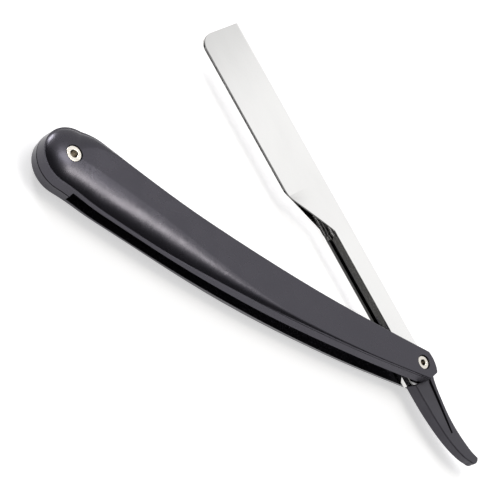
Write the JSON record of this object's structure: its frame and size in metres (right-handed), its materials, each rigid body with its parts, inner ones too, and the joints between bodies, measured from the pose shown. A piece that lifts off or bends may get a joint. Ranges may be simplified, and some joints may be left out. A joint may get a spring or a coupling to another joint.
{
  "type": "straight razor",
  "caption": "Folding straight razor: plastic handle scales, folded steel blade holder that swings on an eyelet, a tail for the finger and a blade that pulls out.",
  "frame": {"origin": "on the pivot eyelet's axis, in the middle plane of the razor, where the two scales part", "axes": "+X from the handle's wide end to the pivot, +Z along the pivot axis, out of the upper scale; the head opens on the +Y side"},
  "size_m": [0.1814, 0.1105, 0.012],
  "materials": {
    "scale_plastic": "moulded black ABS, satin gloss",
    "eyelet_metal": "nickel plated brass",
    "washer_plastic": "nylon",
    "polished_steel": "mirror polished stainless sheet",
    "stop_metal": "extruded strip",
    "tail_plastic": "fine textured black plastic",
    "blade_steel": "ground blade steel"
  },
  "bodies": {
    "handle": {"scale_top": "scale_plastic", "scale_bottom": "scale_plastic", "end_eyelet": "eyelet_metal", "end_washer": "eyelet_metal", "pivot_eyelet": "eyelet_metal", "pivot_washer": "eyelet_metal", "thrust_washer_top": "washer_plastic", "thrust_washer_bottom": "washer_plastic"},
    "head": {"blade_holder": "polished_steel", "blade_stop": "stop_metal", "tail": "tail_plastic"},
    "blade": {"blade": "blade_steel"}
  },
  "joints": [
    {"name": "head_pivot", "type": "hinge", "parent": "handle", "child": "head", "pos_m": [0, 0, 0], "axis": [0, 0, 1], "range_deg": [-240, 37.5]},
    {"name": "blade_slide", "type": "slide", "parent": "head", "child": "blade", "axis": [-0.6334, -0.7738, 0], "range_m": [0, 0.014]}
  ]
}
